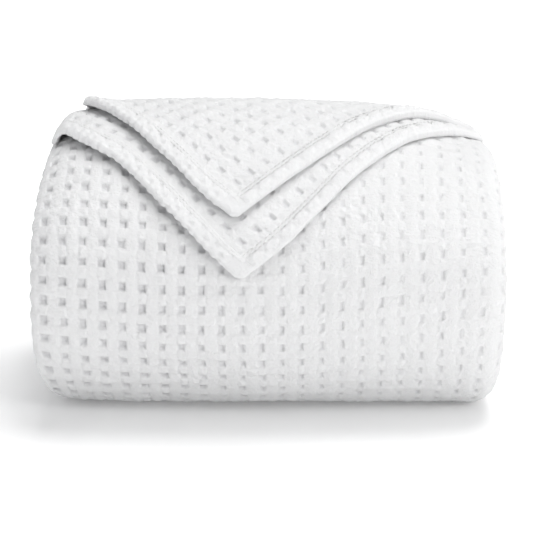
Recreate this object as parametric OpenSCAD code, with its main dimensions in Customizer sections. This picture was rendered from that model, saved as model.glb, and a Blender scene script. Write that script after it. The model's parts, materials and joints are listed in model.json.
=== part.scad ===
// Folded throw blanket: one waffle-woven cotton cloth, folded into a strip of four plies and then
// halved three times, with the two free corners of the cloth laid over the top.
// +Z is up, +X is to the right along the front fold and -Y is the front. The origin is under the
// middle of the bundle, on the surface that it lies on.

/* [Bundle] */
// Width of the bundle, across the widest part of its two folded sides
bundle_w = 318; // [220:2:460]
// Depth of the bundle, from the tip of the lower corner to the back folds
bundle_d = 220; // [190:2:320]
// Height of the eight folded layers, without the two corners that lie on them
stack_h = 188; // [120:2:260]
// Height of the line where the front fold reaches furthest forwards
nose_h = 101; // [60:1:140]
// How far behind the front fold the bottom layer settles on the surface
nose_under = 88; // [40:1:100]
// How far behind the front fold the top layer becomes level
nose_over = 130; // [60:1:140]
// Depth that the sixteen nested plies take up at the front fold
fold_depth = 88; // [48:1:110]
// How far each side pulls in at the floor and at the top
side_pull = 15; // [4:1:24]

/* [Back folds] */
// How far the fold that joins the four bottom layers bulges backwards
low_fold_reach = 42; // [20:1:60]
// How far the fold that joins the third and fourth layers bulges backwards
high_fold_reach = 26; // [12:1:36]
// How far the two corner plies bulge backwards where they wrap round the top layer
wrap_reach = 28; // [16:1:40]

/* [Cloth] */
// Air gap between neighbouring plies
ply_gap = 0.4; // [0.2:0.05:0.8]
// Width of the turned and sewn hem
hem_w = 14; // [8:0.5:20]
// Extra thickness of the hem, as a share of one ply
hem_rise = 0.2; // [0.05:0.05:0.5]
// Thickness of the sewing thread that stands on the hem
thread_d = 0.9; // [0.4:0.1:1.4]
// Distance from the edge of the hem to the outer row of stitches
seam_inset = 9.5; // [5:0.5:12]
// Distance between the two rows of stitches
seam_pitch = 2.4; // [1.5:0.1:4]

/* [Corners] */
// Sideways place of the lower corner's tip
lower_tip_x = -23; // [-60:1:60]
// How far above the nose of the front fold the lower corner's tip lies, along the cloth
lower_tip_rise = 9; // [2:1:60]
// Sideways place of the upper corner's tip
upper_tip_x = -28; // [-60:1:60]
// How far above the nose of the front fold the upper corner's tip lies, along the cloth
upper_tip_rise = 56; // [40:1:100]
// How far behind the nose the lower corner turns up
lower_hinge_back = 107; // [90:1:130]
// How far in front of the lower corner's hinge line the upper corner turns up
upper_hinge_ahead = 30; // [20:1:45]
// Gap across each hinge line
hinge_gap = 0.6; // [0.4:0.1:2]

/* [Hidden] */

// A depth inside the bundle is counted in plies from the outside: 0 is the outer face of the
// outermost ply, 16 is the slit at the core, and negative depths lie on top of the bundle.
strip_plies = 4;
core_plies = 16;
low_fold_plies = 8;
high_fold_plies = 4;
wrap_plies = 4;
gap_share = ply_gap * core_plies / fold_depth;

// The two corners are told apart by these numbers, which pick a value from each list below
LOWER = 0;
UPPER = 1;
faces = [-1, -2];
rest_on = [0, faces[LOWER]];
tip_x = [lower_tip_x, upper_tip_x];
tip_rise = [lower_tip_rise, upper_tip_rise];
arc_step = 7.5;
core_h = stack_h / 2;

cotton = [0.93, 0.93, 0.92];
inner_cotton = [0.85, 0.85, 0.84];
hem_cotton = [0.97, 0.97, 0.96];
thread_white = [0.78, 0.78, 0.77];

// The outside of the front fold, measured from its nose: two quarter ellipses. The angle runs
// from 0, where the cloth leaves the floor, over 90 at the nose to 180, where the top is level.
function nose_curve(a) = a < 90
    ? [nose_under * (1 - sin(a)), nose_h * (1 - cos(a))]
    : [nose_over * (1 - sin(a)), nose_h - (stack_h - nose_h) * cos(a)];

// The same curve at a depth of some plies, shrunk towards the core and measured from the nose
function nested(depth, a) = [fold_depth, core_h]
    + (1 - depth / core_plies) * (nose_curve(a) - [fold_depth, core_h]);

// Length along the cloth above the nose, and the place reached, as a table for lookup
function climb(depth, a) = a <= 90 ? 0
    : climb(depth, a - arc_step) + norm(nested(depth, a) - nested(depth, a - arc_step));
function climb_table(depth, axis) = concat(
    [for (a = [90 : arc_step : 180]) [climb(depth, a), nested(depth, a)[axis]]],
    [[climb(depth, 180) + bundle_d, nested(depth, 180)[axis] + (axis == 0 ? bundle_d : 0)]]);

// How far back the outer face of each corner is along its climb, and how high its underside is
back_tables = [for (i = [LOWER, UPPER]) climb_table(faces[i], 0)];
up_tables = [for (i = [LOWER, UPPER]) climb_table(rest_on[i], 1)];

// The tip of the lower corner is the front of the whole bundle
tip_forward = -lookup(lower_tip_rise, back_tables[LOWER]);
nose_y = -bundle_d / 2 + tip_forward;
back_y = bundle_d / 2;
wrap_y = back_y - wrap_reach;
wrap_tuck = wrap_reach * 0.4;
high_fold_y = back_y - high_fold_reach;
low_fold_y = back_y - low_fold_reach;
free_end_y = back_y - wrap_reach / 4;
lower_hinge_y = nose_y + lower_hinge_back;
upper_hinge_y = lower_hinge_y - upper_hinge_ahead;

function layer_top(depth) = nested(depth, 180)[1];
function layer_bottom(depth) = nested(depth, 0)[1];
total_h = layer_top(faces[UPPER] - hem_rise) + thread_d;
legs_reach = bundle_w + bundle_d;

// Half the width of the bundle at a height, as the sides bulge
function half_width(h) = bundle_w / 2
    - side_pull * pow(abs(h / total_h - 0.5) * 2, 4);

// Turns a drawing of depth against height into a solid across the width of the bundle
module across(from = -bundle_w, to = bundle_w) {
    translate([from, 0, 0]) rotate([90, 0, 90]) linear_extrude(to - from) children();
}

// Everything inside the bulging sides of the bundle
module between_sides() {
    heights = [for (i = [0 : 16]) total_h * i / 16];
    translate([0, bundle_d, 0]) rotate([90, 0, 0]) linear_extrude(2 * bundle_d)
        polygon(concat(
            [for (h = heights) [half_width(h), h]],
            [for (i = [16 : -1 : 0]) [-half_width(heights[i]), heights[i]]]));
}

// One ply of a front fold, as a long U from its bottom end round the nose to its top end
module front_ply(outside, inside, bottom_end, top_end) {
    intersection() {
        across() polygon(concat(
            [[bottom_end, layer_bottom(outside)]],
            [for (a = [0 : arc_step : 180]) nested(outside, a) + [nose_y, 0]],
            [[top_end, layer_top(outside)], [top_end, layer_top(inside)]],
            [for (a = [180 : -arc_step : 0]) nested(inside, a) + [nose_y, 0]],
            [[bottom_end, layer_bottom(inside)]]));
        between_sides();
    }
}

// One ply of a back fold: half an ellipse ring round a middle height, which starts at start_y
module back_ply(start_y, middle, half_h, reach, outside, inside) {
    turn = [for (a = [-90 : arc_step * 2 : 90]) [cos(a), sin(a)]];
    intersection() {
        across() translate([start_y, middle]) polygon(concat(
            [for (p = turn) outside * [reach * p[0], half_h * p[1]]],
            [for (i = [len(turn) - 1 : -1 : 0]) inside * [reach * turn[i][0], half_h * turn[i][1]]]));
        between_sides();
    }
}

// The two middle plies of the top layer reach into the wrap of the corner plies
module outer_fold_ply(i) {
    color(i == 1 ? cotton : inner_cotton)
        front_ply(i - 1, i - gap_share, low_fold_y, i == 2 || i == 3 ? wrap_y + wrap_tuck : wrap_y);
}

module second_fold_ply(i) {
    depth = strip_plies + i;
    color(inner_cotton)
        front_ply(depth - 1, depth - gap_share, low_fold_y, i <= 2 ? wrap_y : free_end_y);
}

module third_fold_ply(i) {
    depth = 2 * strip_plies + i;
    color(inner_cotton)
        front_ply(depth - 1, depth - gap_share, low_fold_y, high_fold_y);
}

module core_fold_ply(i) {
    depth = 3 * strip_plies + i;
    color(inner_cotton)
        front_ply(depth - 1, depth - gap_share, low_fold_y, high_fold_y);
}

// Joins the third and the fourth layer
module high_back_fold_ply(i) {
    middle_depth = core_plies - high_fold_plies;
    color(i == 1 ? cotton : inner_cotton)
        back_ply(high_fold_y, layer_top(middle_depth),
            layer_top(middle_depth - high_fold_plies) - layer_top(middle_depth), high_fold_reach,
            1 - (i - 1) / high_fold_plies, 1 - (i - gap_share) / high_fold_plies);
}

// The eight nested plies that join the four bottom layers, from the outside in
module bottom_back_ply(i) {
    middle = layer_bottom(low_fold_plies);
    back_ply(low_fold_y, middle, middle, low_fold_reach,
        1 - (i - 1) / low_fold_plies, 1 - (i - gap_share) / low_fold_plies);
}

module low_back_fold_ply(i) {
    color(i == 1 ? cotton : inner_cotton) bottom_back_ply(i);
}

module inner_back_fold_ply(i) {
    color(inner_cotton) bottom_back_ply(strip_plies + i);
}

// A corner ply where it comes out of the second layer and wraps up round the end of the top one.
// Its shares count outwards from the middle of the top layer.
module wrap_ply(inside, outside) {
    middle_depth = strip_plies / 2;
    middle = layer_top(middle_depth);
    back_ply(wrap_y, middle, layer_top(middle_depth - wrap_plies) - middle, wrap_reach,
        outside / wrap_plies, (inside + gap_share) / wrap_plies);
}

module lower_corner_wrap() {
    color(cotton) wrap_ply(2, 3);
}

module upper_corner_wrap() {
    color(cotton) wrap_ply(3, 4);
}

// The part of a cloth corner that lies more than inset inside its edges. Its tip points forwards
// and both edges run at 45 degrees along the cloth, so they climb over the nose and are cut from
// above and from the front.
module corner_cut(which, inset) {
    start = tip_rise[which] + inset * sqrt(2);
    edge = [for (d = [0 : 6 : 96]) d, 120, 150, 200, legs_reach];
    back = [for (d = edge) lookup(start + d, back_tables[which]) + nose_y];
    up = [for (d = edge) lookup(start + d, up_tables[which])];
    last = len(edge) - 1;
    intersection() {
        linear_extrude(2 * total_h) polygon(concat(
            [for (i = [last : -1 : 0]) [tip_x[which] - edge[i], back[i]]],
            [for (i = [1 : last]) [tip_x[which] + edge[i], back[i]]],
            [[tip_x[which] + legs_reach, 2 * bundle_d], [tip_x[which] - legs_reach, 2 * bundle_d]]));
        translate([0, 2 * bundle_d, 0]) rotate([90, 0, 0]) linear_extrude(4 * bundle_d) polygon(concat(
            [for (i = [last : -1 : 0]) [tip_x[which] - edge[i], up[i]]],
            [for (i = [1 : last]) [tip_x[which] + edge[i], up[i]]],
            [[tip_x[which] + legs_reach, 2 * total_h], [tip_x[which] - legs_reach, 2 * total_h]]));
    }
}

// A sheet that lies on the bundle between two depths, from the nose to the wrap at the back
module laid_sheet(low, high, from_y, to_y) {
    intersection() {
        across() polygon(concat(
            [for (a = [90 : arc_step : 180]) nested(high, a) + [nose_y, 0]],
            [[wrap_y, layer_top(high)], [wrap_y, layer_top(low)]],
            [for (a = [180 : -arc_step : 90]) nested(low, a) + [nose_y, 0]]));
        translate([-bundle_w, from_y, 0]) cube([2 * bundle_w, to_y - from_y, 2 * total_h]);
        between_sides();
    }
}

module panel(which, from_y, to_y) {
    color(cotton) intersection() {
        laid_sheet(rest_on[which] - gap_share, faces[which], from_y, to_y);
        corner_cut(which, hem_w);
    }
}

// Both turned edges of a corner, which meet at its tip
module hems(which, from_y, to_y) {
    color(hem_cotton) difference() {
        intersection() {
            laid_sheet(rest_on[which] - gap_share, faces[which] - hem_rise, from_y, to_y);
            corner_cut(which, 0);
        }
        corner_cut(which, hem_w);
    }
}

// The double row of stitches that stands on the hems
module seams(which, from_y, to_y) {
    hem_face = faces[which] - hem_rise;
    thread = thread_d * core_plies / fold_depth;
    color(thread_white) for (row = [0, 1]) {
        inset = seam_inset + row * seam_pitch;
        difference() {
            intersection() {
                laid_sheet(hem_face, hem_face - thread, from_y, to_y);
                corner_cut(which, inset);
            }
            corner_cut(which, inset + thread_d);
        }
    }
}

// Keeps what lies left or right of a corner's tip: side is -1 for left and 1 for right
module beside_tip(which, side) {
    intersection() {
        children();
        translate([tip_x[which] - (side < 0 ? legs_reach : 0), -bundle_d, 0])
            cube([legs_reach, 3 * bundle_d, 2 * total_h]);
    }
}

// Front and back ends of the moving parts
front_end = -bundle_d;
lower_end = lower_hinge_y - hinge_gap;
upper_end = upper_hinge_y - hinge_gap;

module lower_corner_back_panel() {
    panel(LOWER, lower_hinge_y, wrap_y);
}

module lower_corner_back_hem() {
    hems(LOWER, lower_hinge_y, wrap_y);
}

module lower_corner_back_stitching() {
    seams(LOWER, lower_hinge_y, wrap_y);
}

module lower_corner_panel() {
    panel(LOWER, front_end, lower_end);
}

module lower_corner_side_hem() {
    beside_tip(LOWER, -1) hems(LOWER, front_end, lower_end);
}

module lower_corner_end_hem() {
    beside_tip(LOWER, 1) hems(LOWER, front_end, lower_end);
}

module lower_corner_stitching() {
    seams(LOWER, front_end, lower_end);
}

module upper_corner_back_panel() {
    panel(UPPER, lower_hinge_y, wrap_y);
}

module upper_corner_back_hems() {
    hems(UPPER, lower_hinge_y, wrap_y);
}

module upper_corner_back_stitching() {
    seams(UPPER, lower_hinge_y, wrap_y);
}

module upper_corner_middle_panel() {
    panel(UPPER, upper_hinge_y, lower_end);
}

module upper_corner_middle_hems() {
    hems(UPPER, upper_hinge_y, lower_end);
}

module upper_corner_middle_stitching() {
    seams(UPPER, upper_hinge_y, lower_end);
}

module upper_corner_panel() {
    panel(UPPER, front_end, upper_end);
}

module upper_corner_side_hem() {
    beside_tip(UPPER, -1) hems(UPPER, front_end, upper_end);
}

module upper_corner_end_hem() {
    beside_tip(UPPER, 1) hems(UPPER, front_end, upper_end);
}

module upper_corner_stitching() {
    seams(UPPER, front_end, upper_end);
}

outer_fold_ply(1);  // outer_fold_ply_1
outer_fold_ply(2);  // outer_fold_ply_2
outer_fold_ply(3);  // outer_fold_ply_3
outer_fold_ply(4);  // outer_fold_ply_4
second_fold_ply(1);  // second_fold_ply_1
second_fold_ply(2);  // second_fold_ply_2
second_fold_ply(3);  // second_fold_ply_3
second_fold_ply(4);  // second_fold_ply_4
third_fold_ply(1);  // third_fold_ply_1
third_fold_ply(2);  // third_fold_ply_2
third_fold_ply(3);  // third_fold_ply_3
third_fold_ply(4);  // third_fold_ply_4
core_fold_ply(1);  // core_fold_ply_1
core_fold_ply(2);  // core_fold_ply_2
core_fold_ply(3);  // core_fold_ply_3
core_fold_ply(4);  // core_fold_ply_4
high_back_fold_ply(1);  // high_back_fold_ply_1
high_back_fold_ply(2);  // high_back_fold_ply_2
high_back_fold_ply(3);  // high_back_fold_ply_3
high_back_fold_ply(4);  // high_back_fold_ply_4
low_back_fold_ply(1);  // low_back_fold_ply_1
low_back_fold_ply(2);  // low_back_fold_ply_2
low_back_fold_ply(3);  // low_back_fold_ply_3
low_back_fold_ply(4);  // low_back_fold_ply_4
inner_back_fold_ply(1);  // inner_back_fold_ply_1
inner_back_fold_ply(2);  // inner_back_fold_ply_2
inner_back_fold_ply(3);  // inner_back_fold_ply_3
inner_back_fold_ply(4);  // inner_back_fold_ply_4
lower_corner_wrap();
lower_corner_back_panel();
lower_corner_back_hem();
lower_corner_back_stitching();
lower_corner_panel();
lower_corner_side_hem();
lower_corner_end_hem();
lower_corner_stitching();
upper_corner_wrap();
upper_corner_back_panel();
upper_corner_back_hems();
upper_corner_back_stitching();
upper_corner_middle_panel();
upper_corner_middle_hems();
upper_corner_middle_stitching();
upper_corner_panel();
upper_corner_side_hem();
upper_corner_end_hem();
upper_corner_stitching();
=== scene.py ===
# A folded waffle-weave throw: one cotton cloth folded into a strip of four plies and halved three
# times, with its two free corners laid over the top. Lengths in the builders are in millimetres
# and become metres when a mesh is made.
import json
import math

import bmesh
import bpy
import numpy as np
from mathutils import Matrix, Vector


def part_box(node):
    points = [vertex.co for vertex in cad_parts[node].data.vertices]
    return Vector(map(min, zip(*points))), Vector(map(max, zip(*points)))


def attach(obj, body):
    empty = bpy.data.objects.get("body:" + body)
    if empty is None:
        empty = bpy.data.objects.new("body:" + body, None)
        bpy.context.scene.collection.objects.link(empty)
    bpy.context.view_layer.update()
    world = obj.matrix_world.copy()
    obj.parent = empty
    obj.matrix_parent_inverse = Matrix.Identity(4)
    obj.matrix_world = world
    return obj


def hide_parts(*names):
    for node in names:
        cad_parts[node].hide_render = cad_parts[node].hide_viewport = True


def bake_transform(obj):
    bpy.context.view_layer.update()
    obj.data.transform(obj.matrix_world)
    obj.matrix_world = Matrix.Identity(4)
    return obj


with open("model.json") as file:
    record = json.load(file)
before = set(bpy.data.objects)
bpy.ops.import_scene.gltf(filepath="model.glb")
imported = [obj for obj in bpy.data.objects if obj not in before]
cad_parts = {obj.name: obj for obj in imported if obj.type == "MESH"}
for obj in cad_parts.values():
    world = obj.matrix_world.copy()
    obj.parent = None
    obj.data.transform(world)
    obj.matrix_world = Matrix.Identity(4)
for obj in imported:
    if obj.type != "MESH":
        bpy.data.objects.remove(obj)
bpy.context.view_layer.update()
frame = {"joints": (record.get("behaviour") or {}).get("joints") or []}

# ---------------------------------------------------------------- camera and light
CAMERA_AT = (0.027, -1.665, 0.578)
CAMERA_LOOKS_AT = (0.0, -0.0905, 0.117)
cam_data = bpy.data.cameras.new("camera")
cam_data.lens = 167.0
cam_data.sensor_width = 36.0
cam_data.clip_end = 60.0


def place_and_aim(name, data, at, target):
    """A camera or lamp at one place that points at another."""
    obj = bpy.data.objects.new(name, data)
    bpy.context.scene.collection.objects.link(obj)
    obj.location = at
    obj.rotation_euler = (Vector(target) - Vector(at)).to_track_quat("-Z", "Y").to_euler()
    return obj


bpy.context.scene.camera = place_and_aim("camera", cam_data, CAMERA_AT, CAMERA_LOOKS_AT)
bpy.context.scene.view_settings.view_transform = "Standard"

LIGHTS_POINT_AT = (0, 0, 0.1)
for lamp, lamp_at, lamp_size, watts in (("key_light", (1.6, -1.9, 1.3), 1.1, 23.0),
                                        ("top_light", (0.4, 0.25, 2.4), 1.8, 40.0),
                                        ("left_light", (-1.9, -0.9, 0.7), 1.2, 3.5)):
    lamp_data = bpy.data.lights.new(lamp, "AREA")
    lamp_data.shape = "DISK"
    lamp_data.size = lamp_size
    lamp_data.energy = watts
    place_and_aim(lamp, lamp_data, lamp_at, LIGHTS_POINT_AT)


def studio_world():
    """A white studio: brightest overhead and a little brighter on the right."""
    world = bpy.data.worlds.new("studio")
    world.use_nodes = True
    tree = world.node_tree
    ramp = tree.nodes.new("ShaderNodeValToRGB")
    ramp.color_ramp.elements[0].position, ramp.color_ramp.elements[1].position = 0.35, 1.0
    ramp.color_ramp.elements[0].color = (0.50, 0.515, 0.54, 1)
    ramp.color_ramp.elements[1].color = (1.0, 1.0, 1.0, 1)
    where = tree.nodes.new("ShaderNodeTexCoord")
    lean = tree.nodes.new("ShaderNodeVectorMath")
    lean.operation = "DOT_PRODUCT"
    lean.inputs[1].default_value = (0.22, 0.0, 0.45)
    shift = tree.nodes.new("ShaderNodeMath")
    shift.operation = "ADD"
    shift.inputs[1].default_value = 0.5
    tree.links.new(where.outputs["Generated"], lean.inputs[0])
    tree.links.new(lean.outputs["Value"], shift.inputs[0])
    tree.links.new(shift.outputs[0], ramp.inputs[0])
    tree.links.new(ramp.outputs[0], tree.nodes["Background"].inputs[0])
    tree.nodes["Background"].inputs[1].default_value = 0.49
    bpy.context.scene.world = world


studio_world()

# ---------------------------------------------------------------- sizes, taken from the frame
MM = 1000.0


def box_mm(node):
    """Lowest and highest corners of a node at rest, in millimetres."""
    low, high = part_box(node)
    return np.array(low) * MM, np.array(high) * MM


outer_low, outer_high = box_mm("outer_fold_ply_1")
wrap_low, wrap_high = box_mm("upper_corner_wrap")
HINGE = {j["name"]: np.array(j["pos_m"], float) * MM for j in frame["joints"]}

HALF_W = outer_high[0]
STACK_H = outer_high[2]
CORE_H = STACK_H / 2
NOSE_Y = outer_low[1]
# The front fold: the height of its foremost line, how far it reaches back below and above that
# line, and how far behind it the middle of the fold lies
NOSE_H, NOSE_UNDER, NOSE_OVER, FOLD_DEPTH = 101.0, 88.0, 130.0, 88.0
PLIES = 16  # from the outermost ply to the middle of the fold
PLY = STACK_H / (2 * PLIES)
WRAP_Y, BACK_Y = wrap_low[1], wrap_high[1]
LOW_BACK_Y = box_mm("low_back_fold_ply_1")[0][1]
HIGH_BACK_Y = box_mm("high_back_fold_ply_1")[0][1]
LOW_REACH, HIGH_REACH, WRAP_REACH = BACK_Y - LOW_BACK_Y, BACK_Y - HIGH_BACK_Y, BACK_Y - WRAP_Y
FREE_END_Y = box_mm("second_fold_ply_4")[1][1]
HINGE_HIGH_Y = HINGE["upper_corner_fold"][1]

# The waffle: distance between pits across and along the cloth, and where a pit lies
PITCH_A, PITCH_B = 13.25, 14.4
PHASE_A, PHASE_B = -3.2, -2.2


# ---------------------------------------------------------------- seeded irregularity
def noise(a, b, scale, seed):
    """Smooth noise from -1 to 1 over cloth coordinates, with bumps about scale apart."""
    table = np.random.RandomState(seed).uniform(-1, 1, (64, 64))
    x, y = a / scale + 17.3, b / scale + 9.1
    i, j = np.floor(x).astype(int), np.floor(y).astype(int)
    u, v = x - i, y - j
    u, v = u * u * (3 - 2 * u), v * v * (3 - 2 * v)
    at = lambda di, dj: table[(i + di) % 64, (j + dj) % 64]
    return (at(0, 0) * (1 - u) + at(1, 0) * u) * (1 - v) + (at(0, 1) * (1 - u) + at(1, 1) * u) * v


def per_cell(ia, ib, seed):
    """One random number from -1 to 1 for each waffle cell."""
    table = np.random.RandomState(seed).uniform(-1, 1, (64, 64))
    return table[ia.astype(int) % 64, ib.astype(int) % 64]


def smooth(x, low, high):
    """From 0 at low to 1 at high, with no kink at either end."""
    t = np.clip((x - low) / (high - low), 0, 1)
    return t * t * (3 - 2 * t)


def rounded(distance, radius, least):
    """Share of the full height at a distance from a rounded edge."""
    return np.sqrt(1 - (1 - np.clip(distance / radius, least, 1)) ** 2)


PIT = 2.9  # depth of an open pit


def waffle(ca, cb, seed, shut=0.0):
    """Height of the woven face, at most about 0, and how deep in a pit it is from 0 to 1.
    ca and cb count cells across and along, and pits lie at whole numbers. shut, from 0 to 1,
    draws the pits together into slits."""
    ia, ib = np.round(ca), np.round(cb)
    aside, db = ca - ia, np.abs(cb - ib)
    wide = 0.02 * per_cell(ia, ib, seed) - 0.105 * shut
    tall = 0.02 * per_cell(ia, ib, seed + 1)
    da = np.abs(aside - 0.03 * shut + 0.025 * per_cell(ia, ib, seed + 3))
    rib = smooth(da, 0.14 + wide, 0.22 + wide)
    bridge = smooth(db, 0.16 + tall, 0.24 + tall)
    pit = (1 - rib) * (1 - bridge)
    edge_rib = ((0.5 - da) / 0.3) ** 2
    edge_bridge = np.clip((0.5 - db) / 0.3, 0, 1) ** 2
    crease = np.exp(-(((da - 0.225) / 0.035) ** 2)) * bridge
    slot = np.exp(-(((aside - 0.145 + 0.05 * shut) / 0.05) ** 2)) * (1 - bridge)
    floor = PIT * (1 - 0.35 * shut + 0.15 * per_cell(ia, ib, seed + 4))
    lip = np.exp(-(((cb - ib - 0.23) / 0.04) ** 2)) * (1 - smooth(da, 0.3, 0.42))
    high = (-floor * pit - (0.8 - 0.3 * shut) * slot * (1 - 0.4 * rib)
            - (1 - rib) * bridge * (0.12 + 0.3 * edge_bridge))
    high = high - 0.3 * rib * edge_rib - 0.42 * rib * edge_bridge - (0.45 - 0.15 * shut) * crease
    high = high - (0.1 + 0.25 * shut) * lip
    side = np.where(cb > ib, 0, 1)
    high = high + 0.35 * per_cell(ia, ib + side, seed + 2) * bridge * (1 - pit)
    return high, pit


# ---------------------------------------------------------------- the folded bundle
# The outermost front fold as a table: angle, place from the nose, and length s along the cloth
ARC = np.radians(np.linspace(0, 180, 361))
LOWER_HALF = ARC < math.pi / 2
ARC_Y = np.where(LOWER_HALF, NOSE_UNDER, NOSE_OVER) * (1 - np.sin(ARC))
ARC_Z = np.where(LOWER_HALF, NOSE_H * (1 - np.cos(ARC)), NOSE_H - (STACK_H - NOSE_H) * np.cos(ARC))
ARC_S = np.concatenate([[0], np.cumsum(np.hypot(np.diff(ARC_Y), np.diff(ARC_Z)))])
S_ARC = ARC_S[-1]
S_NOSE = float(np.interp(math.pi / 2, ARC, ARC_S))
CORE_Y = NOSE_Y + FOLD_DEPTH
RUN_BOTTOM = LOW_BACK_Y - (NOSE_Y + NOSE_UNDER)
RUN_TOP = WRAP_Y - (NOSE_Y + NOSE_OVER)
S_TOP = S_ARC + RUN_TOP


def front(u, s, top_end=None):
    """(y, z) at a depth of u plies, and at s along the outermost ply from where it leaves the floor.
    The top run ends at top_end, or at the line where the corner plies come out."""
    shrink = 1 - u / PLIES
    y0 = NOSE_Y + np.interp(s, ARC_S, ARC_Y)
    z0 = np.interp(s, ARC_S, ARC_Z)
    y = CORE_Y + shrink * (y0 - CORE_Y)
    z = CORE_H + shrink * (z0 - CORE_H)
    y = y + np.clip(-s, 0, None)
    over = np.clip((s - S_ARC) / RUN_TOP, 0, None)
    end = WRAP_Y if top_end is None else top_end
    return np.where(s > S_ARC, y + over * (end - y), y), z


def half_ellipse(y0, zc, reach, half_h, share, phi):
    """(y, z) on a fold that opens to the front, at a share of its full size."""
    return y0 + share * reach * np.cos(phi), zc + share * half_h * np.sin(phi)


# How far the sides are drawn in at the nose and the back, how far they sink, and how much the rows
# of cells climb, softly over the whole width. The crown swells the middle of the top.
SOFT_X = [-159, -126, -60, 15, 60, 100, 120, 143, 159]
SOFT_BACK = [7.0, 3.5, 0, 0, 2.2, 6.5, 9.0, 12.0, 14.0]
SOFT_DOWN = [7.0, 3.5, 0, 0, 0.5, 3.0, 7.0, 11.0, 13.5]
ROW_RISE = [0.04, 0.030, 0.002, 0.0, 0.035, 0.058, 0.07, 0.088, 0.09]
CROWN_X = [-159, -110, -40, 40, 70, 100, 125, 143, 159]
CROWN = [0.6, 0.9, 1.0, 1.0, 1.0, 0.9, 0.6, 0.4, 0.3]
CROWN_RISE, BACK_FALL = 6.5, 13.0
# Then sharply at the very edge: the width and the depth of the rounding on each side
LEFT_ROUND, LEFT_DEPTH, RIGHT_ROUND, RIGHT_DEPTH = 30.0, 11.0, 22.0, 7.0
NOT_UPRIGHT = 0.98  # keeps the rounding from ending in an upright wall


def soft(x, table, knots=SOFT_X):
    """A table over the width, smoothed so that no kink shows in the cloth."""
    xs = np.linspace(-159, 159, 107)
    ys = np.interp(xs, knots, table)
    kernel = np.hanning(15) / np.hanning(15).sum()
    ys = np.convolve(np.pad(ys, 7, mode="edge"), kernel, "valid")
    return np.interp(x, xs, ys)


def sharp(x):
    """How far the last centimetres of each side round off."""
    left = np.clip((-x - (HALF_W - LEFT_ROUND)) / LEFT_ROUND, 0, 1)
    right = np.clip((x - (HALF_W - RIGHT_ROUND)) / RIGHT_ROUND, 0, 1)
    return (LEFT_DEPTH * (1 - np.sqrt(1 - left**2 * NOT_UPRIGHT))
            + RIGHT_DEPTH * (1 - np.sqrt(1 - right**2 * NOT_UPRIGHT)))


TOTAL_H = STACK_H + 2.2 * PLY + 0.9  # with the corner plies on top
STRAIGHT = 118.0  # the sides lean only beyond this distance from the middle


def half_width(x, z):
    """Half the width at a height: both sides lean in above and below, the right one less."""
    lean = np.abs(z / TOTAL_H - 0.5) ** 4 * 16
    return np.where(x > 0, HALF_W + 2.5 - 8 * lean, HALF_W - 15 * lean)


def warp(x, y, z, edge=1.0):
    """Draws the sides of the plain folded block in, as the weight and the folds of the cloth do."""
    nose = np.clip((CORE_Y - y) / FOLD_DEPTH, 0, 1.1)
    back = np.clip((y - 60) / (BACK_Y - 60), 0, 1)
    top = np.clip((z - CORE_H) / CORE_H, 0, 1.12)
    low = np.clip((CORE_H - z) / CORE_H, 0, 1)
    hard = sharp(x) * edge
    inward = soft(x, SOFT_BACK) + hard
    yy = y + inward * nose - 0.7 * inward * back
    crown = (soft(x, CROWN, CROWN_X) * CROWN_RISE * smooth(y, -85, -15)
             - BACK_FALL * smooth(y, 10, 95))
    zz = z - (soft(x, SOFT_DOWN) * edge + hard - crown) * top + 0.35 * hard * low**2
    beyond = np.abs(x) - STRAIGHT
    leaning = np.sign(x) * (STRAIGHT + beyond * (half_width(x, z) - STRAIGHT) / (HALF_W - STRAIGHT))
    return np.stack([np.where(beyond > 0, leaning, x), yy, zz], -1)


def rise(x, s):
    """Cloth distance to distance along the plain block: rows of cells climb towards the sides."""
    up = np.clip(s, 0, None)
    return s + up * soft(x, ROW_RISE) * (1 - smooth(s, 235, 365))


# ---------------------------------------------------------------- the strip of four plies
CLOTH = 0.84 * PLY / 2
RIGHT_REACH, LEFT_REACH, INNER_INSET = 11.0, 5.5, 13.0
LEFT_HEM_A, LEFT_HEM_B = -HALF_W + 6.0, -HALF_W + 4.0
# Points of the path across the strip, by number: where each of its three turns starts or ends
INNER_TURN, INNER_END, LEFT_TURN, LEFT_END, MIDDLE, RIGHT_TURN, FOLD_END = 1, 13, 14, 26, 27, 28, 40


def strip_path():
    """The cloth across the strip from hem to hem: its length p, and points (x in mm, w in plies)."""
    xr, xl, xi = HALF_W - RIGHT_REACH, -HALF_W + LEFT_REACH, HALF_W - INNER_INSET
    half = np.linspace(-90, 90, 13)[1:-1] * math.pi / 180
    pts = [(LEFT_HEM_A, 2.5), (xi, 2.5)]
    pts += [(xi + 5.0 * math.cos(t), 2.0 - 0.5 * math.sin(t)) for t in half]
    pts += [(xi, 1.5), (xl, 1.5)]
    pts += [(xl - (LEFT_REACH - CLOTH) * math.cos(t), 1.0 - 0.5 * math.sin(t)) for t in half]
    pts += [(xl, 0.5), (0.0, 0.5), (xr, 0.5)]
    pts += [(xr + (RIGHT_REACH - CLOTH) * math.cos(t), 2.0 + 1.5 * math.sin(t)) for t in half]
    pts += [(xr, 3.5), (LEFT_HEM_B, 3.5)]
    pts = np.array(pts)
    step = np.hypot(np.diff(pts[:, 0]), np.diff(pts[:, 1]) * PLY)
    p = np.concatenate([[0], np.cumsum(step)])
    p -= p[MIDDLE]
    return p, pts


SHUT_RIGHT = 0.9  # the pits are open at the left and slits at the right
PATH_P, PATH_XW = strip_path()
HEM_P, OTHER_HEM_P = PATH_P[0], PATH_P[-1]
FACE_LEFT, FACE_RIGHT = PATH_P[LEFT_END], PATH_P[RIGHT_TURN]
FOLD_LEFT, FOLD_RIGHT = PATH_P[LEFT_TURN], PATH_P[FOLD_END]


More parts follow.
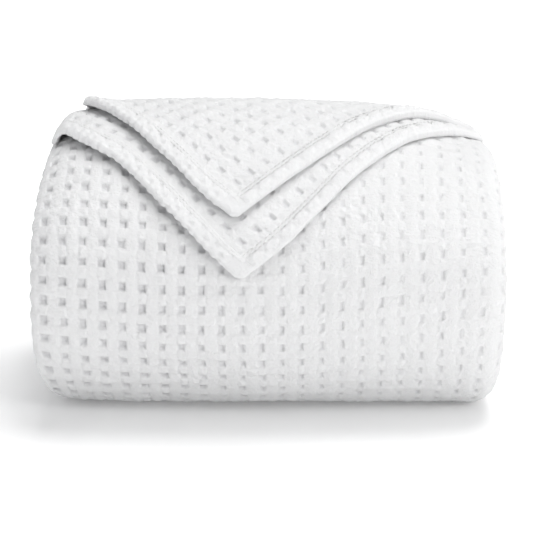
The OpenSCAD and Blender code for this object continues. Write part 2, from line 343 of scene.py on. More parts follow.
def on_path(p):
    """Points and outward normals of the strip's centre line, smoothed round the folds."""
    eps = 0.6
    at = lambda q: np.stack([np.interp(q, PATH_P, PATH_XW[:, k]) for k in (0, 1)], -1)
    here, before, after = at(p), at(p - eps), at(p + eps)
    t = (after - before) * [1, PLY]
    t = t / np.linalg.norm(t, axis=-1, keepdims=True)
    return here, np.stack([t[:, 1], -t[:, 0]], -1)


# Where a cell is cut into faces, as shares of its width and of its length from the pit
ACROSS = (-0.5, -0.35, -0.245, -0.19, -0.12, 0.0, 0.09, 0.145, 0.195, 0.25, 0.35)
ALONG = (-0.5, -0.34, -0.255, -0.2, -0.145, 0.145, 0.2, 0.255, 0.34)


def cell_lines(low, high, pitch, phase, fractions):
    """Sample positions between low and high that keep to the edges of the waffle's pits."""
    first, last = math.floor((low - phase) / pitch) - 1, math.ceil((high - phase) / pitch) + 1
    v = np.array([phase + pitch * (k + f) for k in range(first, last + 1) for f in fractions])
    return v[(v > low + 0.5) & (v < high - 0.5)]


def thin_out(values, least):
    """Indices of values at least that far apart, with both ends."""
    keep = [0]
    for i in range(1, len(values) - 1):
        if values[i] - values[keep[-1]] >= least and values[-1] - values[i] >= least * 0.6:
            keep.append(i)
    return keep + [len(values) - 1]


def path_samples(face_fine):
    """Cloth positions across the strip, fine where the cloth shows and coarse where it is hidden."""
    hem = np.array([0, 0.8, 2.4, 5, 9, 14])
    parts = [HEM_P + hem, OTHER_HEM_P - hem, PATH_P[INNER_TURN:INNER_END + 1],
             PATH_P[INNER_TURN] - np.array([30, 90, 150, 210]),
             FOLD_LEFT - np.array([14, 40, 100, 160, 220])]
    if face_fine:
        parts.append(cell_lines(FOLD_LEFT - 9, FOLD_RIGHT + 9, PITCH_A, PHASE_A, ACROSS))
    else:
        parts += [cell_lines(FOLD_LEFT - 9, FACE_LEFT + 12, PITCH_A, PHASE_A, ACROSS),
                  cell_lines(FACE_RIGHT - 12, FOLD_RIGHT + 9, PITCH_A, PHASE_A, ACROSS),
                  np.linspace(FACE_LEFT + 14, FACE_RIGHT - 14, 8)]
    v = np.unique(np.round(np.concatenate(parts), 3))
    v = v[(v >= HEM_P - 1e-6) & (v <= OTHER_HEM_P + 1e-6)]
    return v[np.concatenate([[True], np.diff(v) > 0.35])]


# ---------------------------------------------------------------- meshes
def make_object(name, verts_mm, faces, uv, pit, material):
    """A smooth mesh that carries where each point lies in the flat cloth, and how deep in a pit."""
    mesh = bpy.data.meshes.new(name)
    mesh.from_pydata((np.asarray(verts_mm) / MM).tolist(), [], faces)
    layer = mesh.uv_layers.new(name="cloth")
    loops = np.zeros(len(mesh.loops), np.int32)
    mesh.loops.foreach_get("vertex_index", loops)
    layer.data.foreach_set("uv", (np.asarray(uv)[loops] / MM).astype(np.float32).ravel())
    # the pit attribute is the mask for the painted shade in the pits
    depth = mesh.attributes.new("pit", "FLOAT", "POINT")
    depth.data.foreach_set("value", np.asarray(pit, np.float32))
    bm = bmesh.new()
    bm.from_mesh(mesh)
    if bm.calc_volume(signed=True) < 0:
        bmesh.ops.reverse_faces(bm, faces=bm.faces)
    bm.to_mesh(mesh)
    bm.free()
    mesh.shade_smooth()
    mesh.materials.append(material)
    obj = bpy.data.objects.new(name, mesh)
    bpy.context.scene.collection.objects.link(obj)
    return obj


def closed_grid(outer, inner, rows, cols):
    """Faces of a closed sheet: a fine outer grid, a coarse inner grid and many-sided rim faces.
    rows and cols are the fine indices that the coarse grid keeps."""
    nr, nc = outer.shape[:2]
    mr, mc = len(rows), len(cols)
    o = lambda r, c: r * nc + c
    k = lambda r, c: nr * nc + r * mc + c
    r, c = np.meshgrid(np.arange(nr - 1), np.arange(nc - 1), indexing="ij")
    faces = np.stack([o(r, c), o(r, c + 1), o(r + 1, c + 1), o(r + 1, c)], -1).reshape(-1, 4).tolist()
    r, c = np.meshgrid(np.arange(mr - 1), np.arange(mc - 1), indexing="ij")
    faces += np.stack([k(r, c), k(r + 1, c), k(r + 1, c + 1), k(r, c + 1)], -1).reshape(-1, 4).tolist()
    for c in range(mc - 1):
        fine = range(cols[c], cols[c + 1] + 1)
        faces.append([o(0, f) for f in reversed(fine)] + [k(0, c), k(0, c + 1)])
        faces.append([o(nr - 1, f) for f in fine] + [k(mr - 1, c + 1), k(mr - 1, c)])
    for r in range(mr - 1):
        fine = range(rows[r], rows[r + 1] + 1)
        faces.append([o(f, 0) for f in fine] + [k(r + 1, 0), k(r, 0)])
        faces.append([o(f, nc - 1) for f in reversed(fine)] + [k(r, mc - 1), k(r + 1, mc - 1)])
    return np.concatenate([outer.reshape(-1, 3), inner.reshape(-1, 3)]), faces


BODY_SEED = 5  # for the cells of the strip; each noise() has its own number too
INNER_GRID = 6.0  # least distance between the lines of the hidden inner face
EDGE_ROUND = 2.4  # over this distance the edge of a ply or hem rounds off


def band(name, material, place, b_values, face_fine, count):
    """A stretch of the four-ply strip. place(x, w, b) gives points of the plain block, b_values
    are cloth positions along the strip, and count = (first, sign) numbers its rows of cells."""
    p = path_samples(face_fine)
    b = np.asarray(b_values, float)
    centre, normal = on_path(p)
    P, B = np.meshgrid(p, b)
    X = np.broadcast_to(centre[:, 0], P.shape)
    W = np.broadcast_to(centre[:, 1], P.shape)
    NX = np.broadcast_to(normal[:, 0], P.shape)
    NW = np.broadcast_to(normal[:, 1], P.shape)
    CB = count[0] + count[1] * B / PITCH_B
    L = CB * PITCH_B
    high, pit = waffle((P - PHASE_A) / PITCH_A, CB, BODY_SEED, SHUT_RIGHT * smooth(X, -90, 50))
    shown = (smooth(P, FOLD_LEFT - 12, FOLD_LEFT - 6)
             * (1 - smooth(P, FOLD_RIGHT + 6, FOLD_RIGHT + 12)))
    high = high + 0.38 * noise(P, L, 4.6, 31) + 0.22 * noise(P, L, 9, 32)
    loops = np.cos(math.pi * (CB - np.round(CB))) - 0.6
    high = high + 1.6 * loops * smooth(-X, HALF_W - 9, HALF_W - 4)
    high, pit = high * shown, pit * shown
    taper = rounded(np.minimum(P - HEM_P, OTHER_HEM_P - P), EDGE_ROUND, 0.04)
    drift_x = 0.6 * noise(P, L, 31, 12) + 0.4 * noise(P, L, 12, 13)
    drift_b = count[1] * (0.8 * noise(P, L, 37, 14) + 0.4 * noise(P, L, 13, 15))
    inside = smooth(B, b[0], b[0] + 6) * (1 - smooth(B, b[-1] - 6, b[-1]))
    sway = 0.6 * noise(P, L, 55, 16) + 0.4 * noise(P, L, 22, 17) - 0.55
    on_face = smooth(X, -HALF_W, -HALF_W + 12) * (1 - smooth(X, HALF_W - 12, HALF_W))
    top = CLOTH * taper + (high + sway) * taper
    shape = lambda h: place(X + drift_x * on_face + NX * h, W + NW * h / PLY, B + drift_b * inside)
    outer = shape(top)
    inner = shape(-CLOTH * taper)
    rows, cols = thin_out(b, INNER_GRID), thin_out(p, INNER_GRID)
    inner = inner[np.ix_(rows, cols)]
    verts, faces = closed_grid(outer, inner, rows, cols)
    uv = np.stack([P, L], -1)
    uv = np.concatenate([uv.reshape(-1, 2), uv[np.ix_(rows, cols)].reshape(-1, 2)])
    pits = np.concatenate([pit.ravel(), np.zeros(len(rows) * len(cols))])
    return make_object(name, verts, faces, uv, pits, material)


# ---------------------------------------------------------------- cotton
def cotton(name, colour, pit_shade_colour, thread, bump, roughness):
    """White cotton: fine crossing threads, painted shade inside the pits, and a soft sheen. thread is
    the distance between threads in metres, and bump the strength of the weave and small wrinkles."""
    mat = bpy.data.materials.new(name)
    mat.use_nodes = True
    tree = mat.node_tree
    shader = tree.nodes["Principled BSDF"]
    new, link = tree.nodes.new, tree.links.new

    def math_node(op, a, b=None):
        n = new("ShaderNodeMath")
        n.operation = op
        for i, v in enumerate((a, b)):
            if v is None:
                continue
            if isinstance(v, (int, float)):
                n.inputs[i].default_value = v
            else:
                link(v, n.inputs[i])
        return n.outputs[0]

    uv = new("ShaderNodeUVMap")
    uv.uv_map = "cloth"
    split = new("ShaderNodeSeparateXYZ")
    link(uv.outputs[0], split.inputs[0])

    def noise_node(scale, detail):
        n = new("ShaderNodeTexNoise")
        n.inputs["Scale"].default_value = scale
        n.inputs["Detail"].default_value = detail
        link(uv.outputs[0], n.inputs["Vector"])
        return n.outputs[0]

    def threads(along, apart):
        phase = math_node("MULTIPLY", math_node("ADD", along, wobble), 2 * math.pi / apart)
        return math_node("SINE", phase)

    fine, broad = noise_node(900.0, 3.0), noise_node(330.0, 4.0)
    wobble = math_node("MULTIPLY", broad, thread * 2.0)
    warp_thread = threads(split.outputs[0], thread)
    weft_thread = math_node("MULTIPLY", threads(split.outputs[1], thread * 1.15), 0.7)
    weave = math_node("MULTIPLY", math_node("ADD", warp_thread, weft_thread), 0.09)
    height = math_node("ADD", weave, math_node("MULTIPLY", fine, 0.7))
    height = math_node("ADD", height, math_node("MULTIPLY", broad, 2.2))
    bumper = new("ShaderNodeBump")
    bumper.inputs["Strength"].default_value = bump
    bumper.inputs["Distance"].default_value = 0.0009
    link(height, bumper.inputs["Height"])
    link(bumper.outputs[0], shader.inputs["Normal"])

    # painted shade: the colour is mixed towards a darker one by how deep in a pit each point lies
    pit = new("ShaderNodeAttribute")
    pit.attribute_name = "pit"
    deep = new("ShaderNodeMix")
    deep.data_type = "RGBA"
    deep.inputs[6].default_value = (*colour, 1)
    deep.inputs[7].default_value = (*pit_shade_colour, 1)
    link(pit.outputs["Fac"], deep.inputs[0])
    tint = new("ShaderNodeMix")
    tint.data_type = "RGBA"
    tint.blend_type = "MULTIPLY"
    tint.inputs[0].default_value = 1.0
    ramp = new("ShaderNodeValToRGB")
    ramp.color_ramp.elements[0].position, ramp.color_ramp.elements[1].position = 0.3, 0.7
    ramp.color_ramp.elements[0].color = (0.955, 0.955, 0.96, 1)
    ramp.color_ramp.elements[1].color = (1, 1, 1, 1)
    both = math_node("ADD", math_node("MULTIPLY", fine, 0.5), math_node("MULTIPLY", broad, 0.5))
    link(both, ramp.inputs[0])
    link(deep.outputs[2], tint.inputs[6])
    link(ramp.outputs[0], tint.inputs[7])
    link(tint.outputs[2], shader.inputs["Base Color"])
    rough = new("ShaderNodeMapRange")
    rough.inputs["To Min"].default_value = roughness - 0.06
    rough.inputs["To Max"].default_value = roughness + 0.06
    link(fine, rough.inputs[0])
    link(rough.outputs[0], shader.inputs["Roughness"])
    shader.inputs["Sheen Weight"].default_value = 0.18
    shader.inputs["Sheen Roughness"].default_value = 0.5
    shader.inputs["Specular IOR Level"].default_value = 0.2
    return mat


# the second colour of each cotton is the painted shade inside its pits
WAFFLE = cotton("waffle_cotton", (0.80, 0.80, 0.80), (0.72, 0.72, 0.725), 0.0007, 0.7, 0.86)
INNER = cotton("inner_cotton", (0.77, 0.77, 0.775), (0.70, 0.70, 0.705), 0.0007, 0.55, 0.88)
HEM = cotton("hem_cotton", (0.82, 0.82, 0.82), (0.66, 0.66, 0.67), 0.0006, 0.7, 0.84)
THREAD = cotton("sewing_thread", (0.78, 0.78, 0.775), (0.7, 0.7, 0.7), 0.0005, 0.6, 0.6)

# ---------------------------------------------------------------- the bands of the bundle
ROWS_SET_AT = 116.0  # the rows of cells are placed by the nose line at this distance from the middle
B_NOSE = S_NOSE / (1 + float(soft(ROWS_SET_AT, ROW_RISE)))


def band_rows(low, high, count, fine_from=None):
    """Positions along a band that keep to its rows of cells, coarse before fine_from."""
    phase = -count[0] / count[1] * PITCH_B
    lines = cell_lines(low, high, PITCH_B, phase, ALONG)
    if fine_from is not None:
        coarse = cell_lines(low, fine_from, PITCH_B, phase, (-0.5, -0.2, 0.0, 0.2))
        lines = np.concatenate([coarse, lines[lines > fine_from]])
    return np.concatenate([[low], lines, [high]])


def back_place(y0, zc, reach, half_h, share_of):
    """b runs along the outermost face from the bottom (0) to the top of the fold."""
    phi = np.linspace(-math.pi / 2, math.pi / 2, 181)
    share = max(share_of(0.0), share_of(4.0))
    y, z = half_ellipse(y0, zc, reach, half_h, share, phi)
    length = np.concatenate([[0], np.cumsum(np.hypot(np.diff(y), np.diff(z)))])

    def place(x, w, b):
        y, z = half_ellipse(y0, zc, reach, half_h, share_of(w), np.interp(b, length, phi))
        return warp(x, y, z)
    return place, length[-1]


def bundle_piece(obj, nodes):
    """Says where a band belongs and what it stands for."""
    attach(obj, "bundle")
    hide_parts(*nodes)


def plies(stem):
    return [f"{stem}_{n}" for n in (1, 2, 3, 4)]


BANDS = [  # name, depth of a ply, nested size, end of the top run by ply, its usual end, nodes
    ("front_fold_layers_2_and_7", lambda w: 8 - w, 0.66,
     lambda w: WRAP_Y + (FREE_END_Y - WRAP_Y) * (1 - smooth(w, 1.7, 2.4)), WRAP_Y, "second_fold_ply"),
    ("front_fold_layers_3_and_6", lambda w: 8 + w, 0.42,
     lambda w: HIGH_BACK_Y, HIGH_BACK_Y, "third_fold_ply"),
    ("front_fold_layers_4_and_5", lambda w: 16 - w, 0.16,
     lambda w: HIGH_BACK_Y, HIGH_BACK_Y, "core_fold_ply"),
]
LOW_FOLD = (LOW_BACK_Y, CORE_H / 2, LOW_REACH, CORE_H / 2)
HIGH_FOLD = (HIGH_BACK_Y, CORE_H * 1.25, HIGH_REACH, CORE_H / 4)
FOLDS = [  # name, ellipse, share of its size by ply, nodes, whether it shows
    ("back_fold_layers_5_and_8", LOW_FOLD, lambda w: 1 - w / 8, "low_back_fold_ply", True),
    ("back_fold_layers_6_and_7", LOW_FOLD, lambda w: w / 8, "inner_back_fold_ply", False),
    ("back_fold_layers_3_and_4", HIGH_FOLD, lambda w: 1 - w / 4, "high_back_fold_ply", True),
]
TUCK = 10.0  # how far the middle plies of the top layer reach into the wrap of the corner plies
NEST_SLACK = 42.0  # cloth that a nested fold takes up on top of its share of the arc


def inner_place(depth_of, scale, top_end, length):
    """Where the cloth of a nested front fold lies; its arc is drawn to scale on the outermost one."""
    ratio = RUN_TOP / (length - S_ARC * scale)

    def place(x, w, b):
        s = np.where(b > 0, b / scale, b)
        s = np.where(b > S_ARC * scale, S_ARC + (b - S_ARC * scale) * ratio, s)
        y, z = front(depth_of(w), s, top_end(w))
        return warp(x, y, z)
    return place


def outer_place(x, w, b):
    """Where the cloth of the outermost front fold lies."""
    end = WRAP_Y + TUCK * smooth(w, 0.9, 1.3) * (1 - smooth(w, 2.7, 3.1))
    y, z = front(w, rise(x, b), end)
    return warp(x, y, z)


lengths = [S_ARC * scale + end_y - (NOSE_Y + NOSE_OVER) + (1 - scale) * NEST_SLACK
           for _, _, scale, _, end_y, _ in BANDS]
_, third_len, core_len = lengths
fold_places = [back_place(*ellipse, share_of) for _, ellipse, share_of, _, _ in FOLDS]
low_len, inner_len, high_len = [length for _, length in fold_places]
# Rows of cells are numbered along the strip, layer after layer in the order of the folds
row = (-PHASE_B - B_NOSE) / PITCH_B
outer_count = (row, 1)
row -= RUN_BOTTOM / PITCH_B
low_count = (row, -1)
row -= low_len / PITCH_B
core_count = (row - RUN_BOTTOM / PITCH_B, -1)
row -= (RUN_BOTTOM + core_len) / PITCH_B
high_count = (row, -1)
row -= (high_len + third_len) / PITCH_B
third_count = (row, 1)
row -= (RUN_BOTTOM + inner_len) / PITCH_B
inner_count = (row, 1)
second_count = (row - RUN_BOTTOM / PITCH_B, -1)

outer_rows = band_rows(-RUN_BOTTOM, S_TOP, outer_count, fine_from=-7.0)
outer_band = band("front_fold_layers_1_and_8", WAFFLE, outer_place, outer_rows, True, outer_count)
bundle_piece(outer_band, plies("outer_fold_ply"))
for (name, depth_of, scale, top_end, _, stem), length, count in zip(
        BANDS, lengths, (second_count, third_count, core_count)):
    rows = band_rows(-RUN_BOTTOM, length, count)
    obj = band(name, INNER, inner_place(depth_of, scale, top_end, length), rows, False, count)
    bundle_piece(obj, plies(stem))
for (name, _, share_of, stem, shows), (place, length), count in zip(
        FOLDS, fold_places, (low_count, inner_count, high_count)):
    material, slot = (WAFFLE, "waffle_cotton") if shows else (INNER, "inner_cotton")
    obj = band(name, material, place, band_rows(0.0, length, count), shows, count)
    mean_share = (share_of(0.0) + share_of(4.0)) / 2 / max(share_of(0.0), share_of(4.0))
    bundle_piece(obj, plies(stem))

# ---------------------------------------------------------------- the two corners on the top
# Pairs of values are for the lower and the upper corner
ROOT2 = math.sqrt(2)
HEM_W = 14.0
PANEL_EDGE = HEM_W - 2.5  # the panel starts a little under its hems
TIP = [(-17.0, 11.0), (-21.0, 55.0)]
CURL_X = [-143.0, -132.0]  # where the left end turns under, with this radius and angle
CURL_R, CURL_TURN = 8.5, 1.9
RIGHT_END = [158.5, 157.0]
LIFT = [1.2, 2.4]  # how far the left edge stands up from what it lies on
TIP_ROUND = 5.0
# How far the right and the left edge bow, by distance from the tip
BEND = [([0, 28, 45, 73, 108, 156, 192, 260], [0, -3, -4, -1.5, 3.0, 6, 8, 8]),
        ([0, 36, 77, 105, 150, 175, 240], [0, -1, -2, -2, 0.5, 2, 3])]
BEND_LEFT = [([0, 25, 60, 95, 130, 165, 240], [0, -2.5, 0, 3.5, 6, 1, -2]),
             ([0, 42, 85, 120, 144, 200, 240], [0, -0.5, 4, 9, 14, 18, 18])]


class Corner:
    """One corner ply: from its tip on the front, over the top and round the back. X runs across
    and S along the cloth from the nose, both in the ply's own outer face."""

    def __init__(self, which):
        self.which = which
        self.outer = -1.0 - which
        self.middle = self.outer + 0.5
        self.k = 1 - self.outer / PLIES
        self.arc = (S_ARC - S_NOSE) * self.k
        self.run = WRAP_Y - (CORE_Y + self.k * (NOSE_OVER - FOLD_DEPTH))
        self.phi = np.linspace(math.pi / 2, -math.pi / 2, 181)
        y, z = self.wrap(self.outer, self.phi)
        self.turn = np.concatenate([[0], np.cumsum(np.hypot(np.diff(y), np.diff(z)))])
        self.flat_end = self.arc + self.run
        self.end = self.flat_end + self.turn[-1]
        self.tip = TIP[which]
        self.x_min = CURL_X[which] - CURL_TURN * CURL_R
        self.x_max = RIGHT_END[which]

    def wrap(self, u, phi):
        """Round the back of the top layer, to its underside."""
        return half_ellipse(WRAP_Y, STACK_H - 2 * PLY, WRAP_REACH, 4 * PLY, 0.5 - u / 4, phi)

    def s_at(self, y):
        """Cloth distance from the nose to a place in depth, on the ply's outer face."""
        s = np.linspace(0, self.flat_end, 900)
        return float(np.interp(y, self.base(self.outer, s)[0], s))

    def base(self, u, S):
        """(y, z) at a depth of u plies and a cloth distance S from the nose, before any warp."""
        s = np.where(S < self.arc, S_NOSE + S / self.k, S_ARC + (S - self.arc) * RUN_TOP / self.run)
        y, z = front(u, np.minimum(s, S_TOP))
        yw, zw = self.wrap(u, np.interp(S - self.flat_end, self.turn, self.phi))
        back = S > self.flat_end
        return np.where(back, yw, y), np.where(back, zw, z)

    def legs(self, X, S):
        """Distances from the right and from the left edge of the corner, (i, j)."""
        dx, ds = X - self.tip[0], S - self.tip[1]
        return (ds - dx) / ROOT2, (ds + dx) / ROOT2

    def spot(self, i, j):
        """The place X, S at these distances from the two edges."""
        return self.tip[0] + (j - i) / ROOT2, self.tip[1] + (i + j) / ROOT2

    def settle(self, i, j):
        """The lie of the cloth: a rounded tip, a rippled left edge, and edges that bow."""
        vi, vj = np.clip(TIP_ROUND - i, 0, None), np.clip(TIP_ROUND - j, 0, None)
        both = np.hypot(vi, vj)
        scale = np.where(both > 1e-6, np.maximum(vi, vj) / np.maximum(both, 1e-6), 1.0)
        i2 = np.where(vi > 0, TIP_ROUND - vi * scale, i)
        j2 = np.where(vj > 0, TIP_ROUND - vj * scale, j)
        ripple = 0.4 * np.cos(4 * math.pi * i / PITCH_B) + 1.2 * noise(i, 0 * i, 31, 95 + self.which)
        j2 = j2 + ripple * (1 - smooth(j, 0, 11)) * smooth(i, 9, 20)
        j2 = j2 + np.interp(i, *BEND_LEFT[self.which]) * (1 - smooth(j, 14, 95))
        return i2 + np.interp(j, *BEND[self.which]) * (1 - smooth(i, 14, 95)), j2

    def place(self, X, S, h):
        """A point h above the middle of the ply, with the left end of the ply turned under."""
        i, j = self.legs(X, S)
        X, S = self.spot(*self.settle(i, j))
        x0 = CURL_X[self.which]
        t = np.clip((x0 - X) / CURL_R, 0, CURL_TURN + 0.1)
        lift = LIFT[self.which] * np.exp(-((j / 13) ** 2)) * smooth(i, 12, 70)
        wave = (0.5 * noise(i, j, 42, 90 + self.which) + 0.25 * noise(i, j, 19, 92 + self.which)
                + 0.35 - 1.2 * smooth(X, -20, 40) - 0.7 * self.which * smooth(X, 40, 110))
        x = np.where(t > 0, x0 - CURL_R * np.sin(t), X) - np.sin(t) * h
        up = h * np.cos(t) - CURL_R * (1 - np.cos(t)) + (lift + wave) * np.cos(np.minimum(t, 1.5))
        y, z = self.base(self.middle - up / PLY, S)
        level = 1 - 0.75 * smooth(-X, 50, 125)
        return warp(x, y, z, level)


def cut_grid(corner, i_lines, j_lines, s_low, s_high):
    """The part of a fabric-aligned grid inside the ply's ends, as flat X, S points and faces."""
    I, J = np.meshgrid(i_lines, j_lines, indexing="ij")
    X, S = corner.spot(I, J)
    n, m = X.shape
    idx = np.arange(n * m).reshape(n, m)
    quads = np.stack([idx[:-1, :-1], idx[1:, :-1], idx[1:, 1:], idx[:-1, 1:]], -1).reshape(-1, 4)
    xs, ss = X.ravel(), S.ravel()
    inside = ((xs[quads].max(1) > corner.x_min) & (xs[quads].min(1) < corner.x_max)
              & (ss[quads].max(1) > s_low) & (ss[quads].min(1) < s_high))
    quads = quads[inside]
    used, inverse = np.unique(quads, return_inverse=True)
    bm = bmesh.new()
    verts = [bm.verts.new((xs[k], ss[k], 0)) for k in used]
    for q in inverse.reshape(-1, 4):
        bm.faces.new([verts[k] for k in q])
    # four cuts trim the grid, and the others add lines where the side edges round off
    cuts = [((corner.x_min, 0, 0), (-1, 0, 0), True), ((corner.x_max, 0, 0), (1, 0, 0), True),
            ((0, s_low, 0), (0, -1, 0), True), ((0, s_high, 0), (0, 1, 0), True)]
    for d in (0.7, EDGE_ROUND):
        cuts += [((corner.x_min + d, 0, 0), (1, 0, 0), False),
                 ((corner.x_max - d, 0, 0), (1, 0, 0), False)]
    for at, normal, clear in cuts:
        geom = bm.verts[:] + bm.edges[:] + bm.faces[:]
        bmesh.ops.bisect_plane(bm, geom=geom, dist=1e-4, plane_co=at, plane_no=normal, clear_outer=clear)
    bm.verts.index_update()
    co = np.array([v.co[:2] for v in bm.verts])
    faces = [[v.index for v in f.verts] for f in bm.faces]
    bm.free()
    return co[:, 0], co[:, 1], faces


def thicken(name, corner, X, S, faces, top, bottom, pit, material):
    """A closed sheet between top and bottom heights over a flat mesh."""
    n = len(X)
    taper = rounded(np.minimum(X - corner.x_min, corner.x_max - X), EDGE_ROUND, 0.05)
    verts = np.concatenate([corner.place(X, S, top * taper), corner.place(X, S, bottom * taper)])
    edges = dict.fromkeys((a, b) for f in faces for a, b in zip(f, f[1:] + f[:1]))
    rim = [[b, a, a + n, b + n] for a, b in edges if (b, a) not in edges]
    closed = faces + [[k + n for k in reversed(f)] for f in faces] + rim
    i, j = corner.legs(X, S)
    uv = np.tile(np.stack([j, i], -1), (2, 1))
    # the underside gets the painted pit shade at 0.8 strength
    obj = make_object(name, verts, closed, uv, np.concatenate([pit, pit * 0.8]), material)
    # the rim doesn't tilt the shading of the faces, so cloth goes on evenly into the next piece
    hard = {pair for a, b, c, d in rim for pair in ((a, b), (b, a), (c, d), (d, c))}
    ends = np.zeros(2 * len(obj.data.edges), np.int32)
    obj.data.edges.foreach_get("vertices", ends)
    is_hard = [(a, b) in hard for a, b in ends.reshape(-1, 2).tolist()]
    obj.data.edges.foreach_set("use_edge_sharp", is_hard)
    return obj


FLAP_PHASE_A, FLAP_PHASE_B = HEM_W + 6.4, HEM_W + 6.8


def corner_panel(name, corner, s_low, s_high):
    """The waffle of a corner inside its hems, with ribs and pits on both faces."""
    reach = (s_high - corner.tip[1]) * ROOT2 + 240
    lines = cell_lines(PANEL_EDGE, reach, PITCH_A, FLAP_PHASE_A, ACROSS)
    j_lines = np.concatenate([[PANEL_EDGE], lines])
    lines = cell_lines(PANEL_EDGE, reach, PITCH_B, FLAP_PHASE_B, ALONG)
    i_lines = np.concatenate([[PANEL_EDGE], lines])
    X, S, faces = cut_grid(corner, i_lines, j_lines, s_low, s_high)
    i, j = corner.legs(X, S)
    ca, cb = (j - FLAP_PHASE_A) / PITCH_A, (i - FLAP_PHASE_B) / PITCH_B
    high, pit = waffle(ca, cb, 100 + corner.which, 0.25 + 0.45 * smooth(X, -80, 50))
    under, _ = waffle(ca + 0.5, cb + 0.5, 105)
    high = high + 0.38 * noise(i, j, 4.6, 41 + corner.which) + 0.22 * noise(i, j, 9, 43)
    top = CLOTH + 0.85 * high
    bottom = -CLOTH - 0.55 * under
    return thicken(name, corner, X, S, faces, top, bottom, pit, WAFFLE)


HEM_HALF = 3.0  # how far a hem stands up
HEM_RAISE = 0.1 * PLY  # and from how far above the middle of its ply
SEAM, INNER_SEAM = 9.9, 12.3  # the two rows of stitches, from the outer edge


def hem_profile(d, length_at, side_hem, seed):
    """Share of a hem's full height at d from its outer edge, rounded at both edges, and the detail on
    it: two sunk stitch lines, and on the side hem small pits, on the end hem a row of ovals."""
    start = smooth(length_at, HEM_W - 2, HEM_W + 3)
    edge = rounded(d, EDGE_ROUND, 0.04)
    inner = rounded(HEM_W - d, 1.3, 0.1)
    if side_hem:
        inner = 1 - (1 - inner) * smooth(length_at, 1, 4)
    groove = (-0.7 * np.exp(-(((d - SEAM) / 0.9) ** 2))
              - 0.7 * np.exp(-(((d - INNER_SEAM) / 0.8) ** 2)))
    if side_hem:
        t = length_at / PITCH_B
        dt = np.abs(t - np.round(t))
        pits = 2.0 * np.exp(-(((d - 7.7) / 1.3) ** 2) - (dt / 0.12) ** 2)
        pits = pits + 1.7 * np.exp(-(((d - 4.1) / 1.2) ** 2) - ((0.5 - dt) / 0.12) ** 2)
        pillow = 0.2 - pits - 0.45 * np.cos(4 * math.pi * t) * smooth(d, 5, 1)
    else:
        t = (length_at - 6) / PITCH_A
        dt = t - np.round(t)
        oval = 1 - (dt / 0.42) ** 2 - ((d - 6.2) / 3.4) ** 2
        valley = np.exp(-(((oval + 0.1) / 0.2) ** 2)) * smooth(dt, 0, 0.2)
        pillow = 1.15 * smooth(oval, 0, 0.28) - 0.4 - 0.5 * valley
    rough = 0.35 * noise(length_at, d, 9, seed) + 0.4 * noise(length_at, d, 4, seed + 1)
    detail = (pillow * start + rough) * smooth(d, 0.3, 2.0) + groove * (0.5 + 0.5 * start)
    return edge * inner, detail


# Where the width of a hem is cut into faces: closer at the outer edge and at the seams
D_LINES = np.array([0, 0.25, 0.8, 1.7, 3.0, 4.0, 5.2, 6.6, 7.8, 8.9, 9.4, 9.9, 10.5, 11.1, 11.8,
                    12.3, 12.8, 13.4, 13.8, 14.0])
HEM_STEP = 1.2


def corner_hem(name, corner, side_hem, s_low, s_high):
    """The hem along the left edge (side_hem), or along the right edge from where that one ends."""
    length = (s_high - corner.tip[1]) * ROOT2 + 60
    start = 0.0 if side_hem else HEM_W - 0.6
    along = np.arange(start, length, HEM_STEP)
    if side_hem:
        along = np.unique(np.concatenate([D_LINES[:4], along]))
    i_lines, j_lines = (along, D_LINES) if side_hem else (D_LINES, along)
    X, S, faces = cut_grid(corner, i_lines, j_lines, s_low, s_high)
    i, j = corner.legs(X, S)
    d, t = (j, i) if side_hem else (i, j)
    full, detail = hem_profile(d, t, side_hem, 120 + corner.which)
    if side_hem:
        full = full * rounded(t, 3.0, 0.04)
        detail = detail * (0.4 + 0.6 * smooth(t, 4, 16))
    top = HEM_RAISE + HEM_HALF * full + detail * full
    bottom = -(CLOTH if side_hem else CLOTH + 0.8) * full
    return thicken(name, corner, X, S, faces, top, bottom, np.zeros(len(X)), HEM)


STITCH, STITCH_APART, STITCH_R = 2.9, 3.7, 0.45  # length, spacing and radius
LONGEST_LEG = 420.0


def corner_stitches(name, corner, s_low, s_high):
    """The two rows of stitches on both hems, each stitch a short closed tube."""
    verts, faces, uvs = [], [], []
    sides, steps = 6, 6
    ring = np.arange(sides) * 2 * math.pi / sides
    for side_hem in (True, False):
        for inset, first in ((SEAM, 0.6), (INNER_SEAM, 1.8)):
            t0 = inset + first
            while t0 < LONGEST_LEG:
                tau = np.linspace(0, 1, steps)
                t = t0 + STITCH * tau
                radius = STITCH_R * np.sqrt(np.clip(1 - (2 * tau - 1) ** 4, 0.05, 1))
                T = t[:, None] + 0 * ring
                L = inset + radius[:, None] * np.cos(ring)
                i, j = (T, L) if side_hem else (L, T)
                X, S = corner.spot(i, j)
                t0 += STITCH_APART
                if (S.min() < s_low or S.max() > s_high
                        or X.min() < corner.x_min + 3 or X.max() > corner.x_max - 1.5):
                    continue
                arch = (0.35 * np.sin(math.pi * tau))[:, None]
                h = HEM_RAISE + HEM_HALF - 0.85 + arch + radius[:, None] * np.sin(ring)
                base = len(verts)
                verts += corner.place(X, S, h).reshape(-1, 3).tolist()
                uvs += np.stack([L, T], -1).reshape(-1, 2).tolist()
                for r in range(steps - 1):
                    for c in range(sides):
                        a, b = base + r * sides + c, base + r * sides + (c + 1) % sides
                        faces.append([a, b, b + sides, a + sides])
                faces.append([base + c for c in reversed(range(sides))])
                faces.append([base + (steps - 1) * sides + c for c in range(sides)])
    return make_object(name, verts, faces, uvs, np.zeros(len(verts)), THREAD)


lower, upper = Corner(0), Corner(1)
upper_split = upper.s_at(HINGE_HIGH_Y)


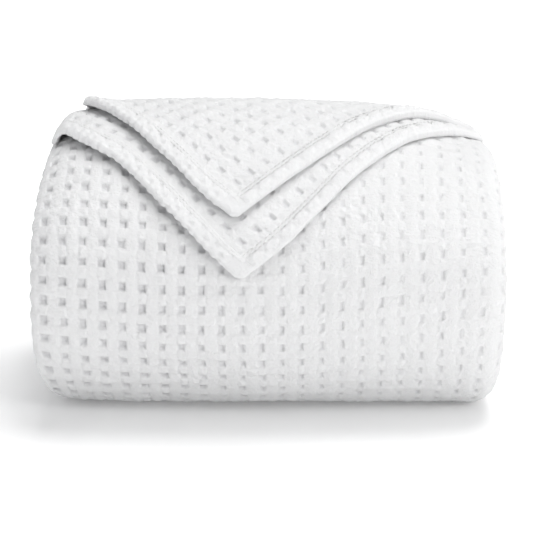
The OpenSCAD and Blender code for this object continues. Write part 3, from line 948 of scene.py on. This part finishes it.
def lay_corner(stem, corner, s_low, s_high, thread_end, nodes):
    """One stretch of a corner ply: its panel, two hems and stitches.
    nodes are what each piece stands for."""
    panel = corner_panel(f"{stem}_cloth", corner, s_low, s_high)
    hems = [corner_hem(f"{stem}_side_hem_band", corner, True, s_low, s_high),
            corner_hem(f"{stem}_end_hem_band", corner, False, s_low, s_high)]
    thread = corner_stitches(f"{stem}_stitches", corner, s_low, thread_end)
    slots = ("waffle_cotton", "hem_cotton", "hem_cotton", "sewing_thread")
    for obj, slot, stands_for in zip([panel, *hems, thread], slots, nodes):
        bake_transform(obj)
        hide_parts(*stands_for)


lay_corner("lower_corner", lower, 0.0, lower.end, lower.end - 2,
           [("lower_corner_panel", "lower_corner_back_panel", "lower_corner_wrap"),
            ("lower_corner_side_hem",), ("lower_corner_end_hem", "lower_corner_back_hem"),
            ("lower_corner_stitching", "lower_corner_back_stitching")])
lay_corner("upper_corner_back", upper, upper_split, upper.end, upper.end - 2,
           [("upper_corner_back_panel", "upper_corner_middle_panel", "upper_corner_wrap"),
            ("upper_corner_middle_hems",), ("upper_corner_back_hems",),
            ("upper_corner_middle_stitching", "upper_corner_back_stitching")])
lay_corner("upper_corner_front", upper, 0.0, upper_split, upper_split,
           [("upper_corner_panel",), ("upper_corner_side_hem",), ("upper_corner_end_hem",),
            ("upper_corner_stitching",)])

# ---------------------------------------------------------------- the floor
floor_mesh = bpy.data.meshes.new("floor")
floor_corners = [(-15, -15, 0), (15, -15, 0), (15, 15, 0), (-15, 15, 0)]
floor_mesh.from_pydata(floor_corners, [], [(0, 1, 2, 3)])
floor = bpy.data.objects.new("floor", floor_mesh)
bpy.context.scene.collection.objects.link(floor)
floor_material = bpy.data.materials.new("pale_floor")
floor_material.use_nodes = True
paint = floor_material.node_tree.nodes["Principled BSDF"]
paint.inputs["Base Color"].default_value = (0.95, 0.95, 0.95, 1)
paint.inputs["Roughness"].default_value = 0.9
paint.inputs["Specular IOR Level"].default_value = 0.1
paint.inputs["Emission Color"].default_value = (1, 1, 1, 1)
# painted light: the floor glows a little right round the bundle and more with distance from it, so that
# it reads white and the shadow round the bundle stays light and narrow
floor_nodes = floor_material.node_tree
where = floor_nodes.nodes.new("ShaderNodeTexCoord")
away = floor_nodes.nodes.new("ShaderNodeVectorMath")
away.operation = "LENGTH"
glow = floor_nodes.nodes.new("ShaderNodeMapRange")
glow.inputs["From Min"].default_value, glow.inputs["From Max"].default_value = 0.18, 0.55
glow.inputs["To Min"].default_value, glow.inputs["To Max"].default_value = 0.11, 0.6
floor_nodes.links.new(where.outputs["Object"], away.inputs[0])
floor_nodes.links.new(away.outputs["Value"], glow.inputs["Value"])
floor_nodes.links.new(glow.outputs["Result"], paint.inputs["Emission Strength"])
floor_mesh.materials.append(floor_material)
